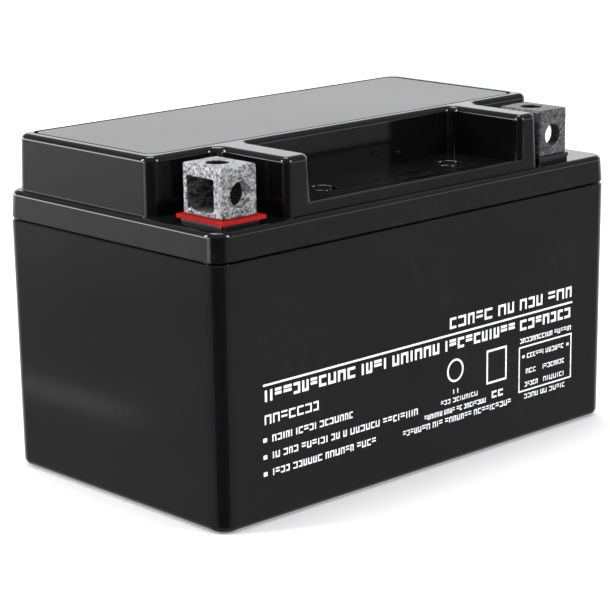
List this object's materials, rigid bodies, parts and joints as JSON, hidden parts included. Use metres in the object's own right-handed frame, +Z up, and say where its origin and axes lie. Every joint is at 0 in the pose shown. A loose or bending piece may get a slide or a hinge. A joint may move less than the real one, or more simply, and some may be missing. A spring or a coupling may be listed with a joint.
{
  "type": "motorcycle battery",
  "caption": "Sealed black box battery with a stepped cover, a raised vent block with a central trough, and lead box terminals at the two front corners.",
  "frame": {"origin": "bottom centre of the case, on the surface it stands on", "axes": "+X along the length, from the positive terminal's end to the negative terminal's end; -Y out of the printed front face, where the terminals are; +Z up"},
  "size_m": [0.15, 0.087, 0.093],
  "materials": {
    "case_plastic": "satin black moulded plastic, fine mould texture, light scuffs",
    "cover_plastic": "semi-gloss black moulded plastic",
    "plate_plastic": "fine-grained satin black plastic sheet",
    "valve_rubber": "soft black rubber",
    "terminal_lead": null,
    "red_epoxy": "red sealing resin",
    "black_epoxy": "black sealing resin",
    "o_ring_rubber": "black rubber",
    "positive_plate_lead": "dark brown lead oxide paste on a lead grid",
    "negative_plate_lead": "grey spongy lead paste on a lead grid",
    "glass_mat": "white glass fibre mat, damp with acid",
    "weld_lead": "remelted lead"
  },
  "bodies": {
    "battery": {"container": "case_plastic", "cover": "cover_plastic", "top_plate": "plate_plastic", "positive_terminal": "terminal_lead", "negative_terminal": "terminal_lead", "positive_seal": "red_epoxy", "negative_seal": "black_epoxy", "positive_o_ring": "o_ring_rubber", "negative_o_ring": "o_ring_rubber", "positive_plates_1": "positive_plate_lead", "positive_plates_2": "positive_plate_lead", "positive_plates_3": "positive_plate_lead", "positive_plates_4": "positive_plate_lead", "positive_plates_5": "positive_plate_lead", "positive_plates_6": "positive_plate_lead", "negative_plates_1": "negative_plate_lead", "negative_plates_2": "negative_plate_lead", "negative_plates_3": "negative_plate_lead", "negative_plates_4": "negative_plate_lead", "negative_plates_5": "negative_plate_lead", "negative_plates_6": "negative_plate_lead", "separator_1": "glass_mat", "separator_2": "glass_mat", "separator_3": "glass_mat", "separator_4": "glass_mat", "separator_5": "glass_mat", "separator_6": "glass_mat", "intercell_weld_1": "weld_lead", "intercell_weld_2": "weld_lead", "intercell_weld_3": "weld_lead", "intercell_weld_4": "weld_lead", "intercell_weld_5": "weld_lead"},
    "valve_1": {"valve_cap_1": "valve_rubber"},
    "valve_2": {"valve_cap_2": "valve_rubber"},
    "valve_3": {"valve_cap_3": "valve_rubber"},
    "valve_4": {"valve_cap_4": "valve_rubber"},
    "valve_5": {"valve_cap_5": "valve_rubber"},
    "valve_6": {"valve_cap_6": "valve_rubber"}
  },
  "joints": [
    {"name": "valve_lift_1", "type": "slide", "parent": "battery", "child": "valve_1", "axis": [0, 0, 1], "range_m": [0, 0.0005], "stiffness_N_per_m": 600, "springref_m": -0.0002},
    {"name": "valve_lift_2", "type": "slide", "parent": "battery", "child": "valve_2", "axis": [0, 0, 1], "range_m": [0, 0.0005], "stiffness_N_per_m": 600, "springref_m": -0.0002},
    {"name": "valve_lift_3", "type": "slide", "parent": "battery", "child": "valve_3", "axis": [0, 0, 1], "range_m": [0, 0.0005], "stiffness_N_per_m": 600, "springref_m": -0.0002},
    {"name": "valve_lift_4", "type": "slide", "parent": "battery", "child": "valve_4", "axis": [0, 0, 1], "range_m": [0, 0.0005], "stiffness_N_per_m": 600, "springref_m": -0.0002},
    {"name": "valve_lift_5", "type": "slide", "parent": "battery", "child": "valve_5", "axis": [0, 0, 1], "range_m": [0, 0.0005], "stiffness_N_per_m": 600, "springref_m": -0.0002},
    {"name": "valve_lift_6", "type": "slide", "parent": "battery", "child": "valve_6", "axis": [0, 0, 1], "range_m": [0, 0.0005], "stiffness_N_per_m": 600, "springref_m": -0.0002}
  ]
}
